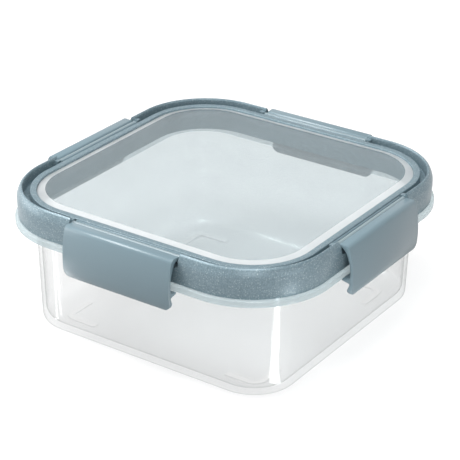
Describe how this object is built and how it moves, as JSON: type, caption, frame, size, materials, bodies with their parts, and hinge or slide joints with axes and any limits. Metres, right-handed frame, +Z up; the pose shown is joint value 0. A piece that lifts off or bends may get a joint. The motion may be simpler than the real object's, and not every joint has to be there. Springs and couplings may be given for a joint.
{
  "type": "food storage container",
  "caption": "Square clear food keeper with rounded corners: framed lid with a clear window and a snap latch hinged at each side.",
  "frame": {"origin": "under the middle of the base, on the plane its feet stand on", "axes": "+Z up through the lid, +X and -Y out of the two sides the picture shows"},
  "size_m": [0.181, 0.181, 0.0718],
  "materials": {
    "clear_base": "clear moulded polypropylene",
    "clear_window": "clear moulded polypropylene",
    "lid_frame": "grey moulded polypropylene with a fine texture",
    "latch": "smooth grey-blue moulded polypropylene",
    "hinge_bar": "smooth pale grey moulded plastic",
    "seal": "translucent pale silicone"
  },
  "bodies": {
    "base": {"base": "clear_base"},
    "lid": {"lid_frame": "lid_frame", "window_panel": "clear_window", "seal_ring": "seal", "front_hinge_bar": "hinge_bar", "right_hinge_bar": "hinge_bar", "back_hinge_bar": "hinge_bar", "left_hinge_bar": "hinge_bar"},
    "front_latch": {"front_latch": "latch"},
    "right_latch": {"right_latch": "latch"},
    "back_latch": {"back_latch": "latch"},
    "left_latch": {"left_latch": "latch"}
  },
  "joints": [
    {"name": "lid_lift", "type": "slide", "parent": "base", "child": "lid", "axis": [0, 0, 1], "range_m": [0, 0.12]},
    {"name": "front_latch_hinge", "type": "hinge", "parent": "lid", "child": "front_latch", "pos_m": [0, -0.0809, 0.0687], "axis": [-1, 0, 0], "range_deg": [0, 120]},
    {"name": "right_latch_hinge", "type": "hinge", "parent": "lid", "child": "right_latch", "pos_m": [0.0809, 0, 0.0687], "axis": [0, -1, 0], "range_deg": [0, 120]},
    {"name": "back_latch_hinge", "type": "hinge", "parent": "lid", "child": "back_latch", "pos_m": [0, 0.0809, 0.0687], "axis": [1, 0, 0], "range_deg": [0, 120]},
    {"name": "left_latch_hinge", "type": "hinge", "parent": "lid", "child": "left_latch", "pos_m": [-0.0809, 0, 0.0687], "axis": [0, 1, 0], "range_deg": [0, 120]}
  ]
}
